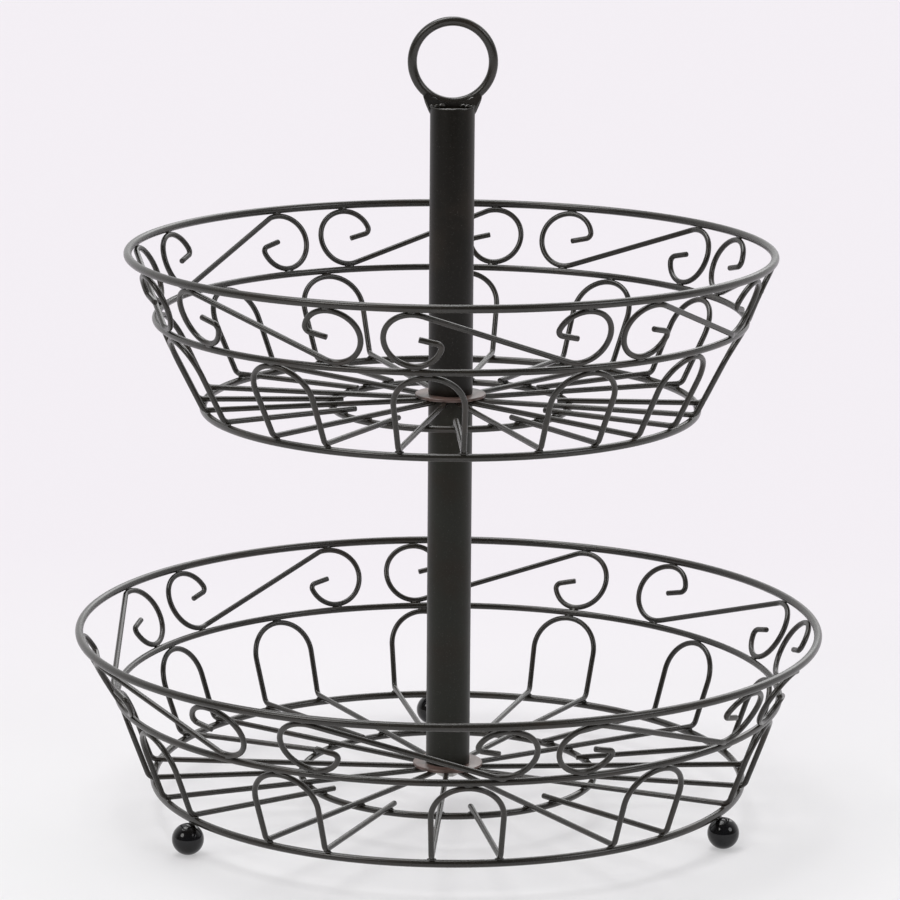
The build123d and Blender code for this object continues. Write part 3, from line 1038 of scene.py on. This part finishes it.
class BASKET_OT_studio(bpy.types.Operator):
    """Sets the pale floor, the soft lamps, the world and the camera"""

    bl_idname = "basket.studio"
    bl_label = "Studio"

    focal_pixels: FloatProperty(
        name="Focal length in pixels",
        description="Focal length of the photograph's view, for a frame 900 pixels wide",
        subtype="PIXEL", default=4087.0)
    camera_distance: FloatProperty(
        name="Camera distance", description="Distance from the post to the camera along the floor",
        default=1.9893, unit="LENGTH")
    camera_height: FloatProperty(
        name="Camera height", description="Camera height above the lower base ring",
        default=0.5968, unit="LENGTH")
    camera_pitch: FloatProperty(
        name="Camera pitch", description="Angle by which the camera looks down",
        default=0.2126, subtype="ANGLE")
    camera_roll: FloatProperty(
        name="Camera roll", description="Small turn of the camera about its view",
        default=0.0074, subtype="ANGLE")

    def add_floor(self):
        """A wide pale floor whose own colour stays light under the shadows."""
        reach, squares, drop = 14, 40, 0.0001
        near_edge, far_edge, mottle_share, glow_share = -0.15, 0.75, 0.3, 0.45
        bm = bmesh.new()
        bmesh.ops.create_grid(bm, x_segments=squares, y_segments=squares, size=reach)
        bmesh.ops.translate(bm, verts=bm.verts, vec=UP * -drop)
        mesh = bpy.data.meshes.new("studio_floor")
        bm.to_mesh(mesh)
        bm.free()
        floor = bpy.data.objects.new("studio_floor", mesh)
        bpy.context.scene.collection.objects.link(floor)
        material, graph = blank_material("floor_paper")
        material.node_tree.nodes.clear()
        place = graph.place()
        split = graph.add("ShaderNodeSeparateXYZ")
        graph.feed(split.inputs[0], place)
        mottle = graph.math("MULTIPLY", graph.noise(place, 3.0, detail=3.0), mottle_share)
        depth = graph.math("ADD", graph.ramp(split.outputs["Y"], near_edge, far_edge), mottle)
        f = finish_values()
        tone = graph.mix(depth, (*f.floor_colour, 1), (*f.far_floor_colour, 1))
        diffuse = graph.add("ShaderNodeBsdfDiffuse")
        glow = graph.add("ShaderNodeEmission")
        graph.feed(diffuse.inputs["Color"], tone)
        graph.feed(glow.inputs["Color"], tone)
        rays = graph.add("ShaderNodeLightPath").outputs
        seen = graph.math("MAXIMUM", rays["Is Camera Ray"], rays["Is Glossy Ray"])
        blend = graph.add("ShaderNodeMixShader")
        inputs = (graph.math("MULTIPLY", seen, glow_share), diffuse.outputs[0], glow.outputs[0])
        for socket, value in zip(blend.inputs, inputs):
            graph.feed(socket, value)
        graph.feed(graph.add("ShaderNodeOutputMaterial").inputs["Surface"], blend.outputs[0])
        mesh.materials.append(material)

    def add_lamp(self, name, source, spread, strength, colour):
        """A distant soft lamp that shines from a direction over the whole floor."""
        data = bpy.data.lights.new(name, "SUN")
        data.energy = strength
        data.angle = radians(spread)
        data.color = colour
        lamp = bpy.data.objects.new(name, data)
        lamp.rotation_euler = Vector(source).to_track_quat("Z", "Y").to_euler()
        bpy.context.scene.collection.objects.link(lamp)

    def add_surroundings(self):
        """A bright studio behind the basket and a dark one in front, pale where the camera sees it."""
        front_edge, back_edge, front_glow, back_gain = -0.35, 0.55, 0.1, 0.85
        studio_colour = (0.95, 0.95, 0.96, 1)
        # Glossy rays see the studio, because a pale front would make the dark coats too light
        world = bpy.data.worlds.new("studio_world")
        world.use_nodes = True
        bpy.context.scene.world = world
        graph = ShaderNodes(world.node_tree)
        split = graph.add("ShaderNodeSeparateXYZ")
        graph.feed(split.inputs[0], graph.add("ShaderNodeTexCoord").outputs["Generated"])
        depth = graph.ramp(split.outputs["Y"], front_edge, back_edge)
        glow = graph.math("ADD", graph.math("MULTIPLY", depth, back_gain), front_glow)
        seen = graph.add("ShaderNodeLightPath").outputs["Is Camera Ray"]
        graph.feed_all(world.node_tree.nodes["Background"], {
            "Color": graph.mix(seen, studio_colour, (*finish_values().floor_colour, 1)),
            "Strength": graph.math("MAXIMUM", glow, seen),
        })

    def add_camera(self):
        """The camera at the photograph's place, built from its pitch and roll."""
        data = bpy.data.cameras.new("photo_camera")
        data.sensor_width = 36
        data.lens = data.sensor_width * self.focal_pixels / PHOTO_WIDTH
        data.clip_end = 60
        camera = bpy.data.objects.new("photo_camera", data)
        base_height = ring_size("lower_base_ring")[2]
        forward = Vector((0, cos(self.camera_pitch), -sin(self.camera_pitch)))
        lift = ACROSS.cross(forward)
        right = ACROSS * cos(self.camera_roll) + lift * sin(self.camera_roll)
        above = lift * cos(self.camera_roll) - ACROSS * sin(self.camera_roll)
        turn = Matrix((right, above, -forward)).transposed()
        place = Vector((0, -self.camera_distance, self.camera_height + base_height))
        camera.matrix_world = Matrix.Translation(place) @ turn.to_4x4()
        bpy.context.scene.collection.objects.link(camera)
        bpy.context.scene.camera = camera

    def execute(self, context):
        context.scene.view_settings.view_transform = "Standard"
        self.add_surroundings()
        self.add_floor()
        for lamp in LAMPS:
            self.add_lamp(*lamp)
        self.add_camera()
        return {"FINISHED"}


BUILD_STEPS = ("studio", "rings", "arches", "scrolls", "welds", "feet", "post", "handle", "hardware")


class BASKET_PT_panel(bpy.types.Panel):
    """Lists the basket's sizes, colours and building steps"""

    bl_idname = "BASKET_PT_panel"
    bl_label = "Wire basket"
    bl_space_type = "VIEW_3D"
    bl_region_type = "UI"
    bl_category = "Basket"

    def draw(self, context):
        for group in (context.scene.basket_shape, context.scene.basket_finish):
            column = self.layout.column()
            for label in group.__annotations__:
                column.prop(group, label)
        for step in BUILD_STEPS:
            self.layout.operator(f"basket.{step}")


CLASSES = (
    BasketShape, BasketFinish,
    BASKET_OT_rings, BASKET_OT_arches, BASKET_OT_scrolls, BASKET_OT_welds, BASKET_OT_feet,
    BASKET_OT_post, BASKET_OT_handle, BASKET_OT_hardware, BASKET_OT_studio, BASKET_PT_panel,
)


def register():
    """Adds the basket's classes and settings to Blender."""
    for item in CLASSES:
        bpy.utils.register_class(item)
    bpy.types.Scene.basket_shape = PointerProperty(type=BasketShape)
    bpy.types.Scene.basket_finish = PointerProperty(type=BasketFinish)


def unregister():
    """Takes the basket's classes and settings out again."""
    del bpy.types.Scene.basket_finish
    del bpy.types.Scene.basket_shape
    for item in reversed(CLASSES):
        bpy.utils.unregister_class(item)


def main():
    """Builds the basket and its studio."""
    register()
    for step in BUILD_STEPS:
        getattr(bpy.ops.basket, step)()


if __name__ == "__main__":
    main()
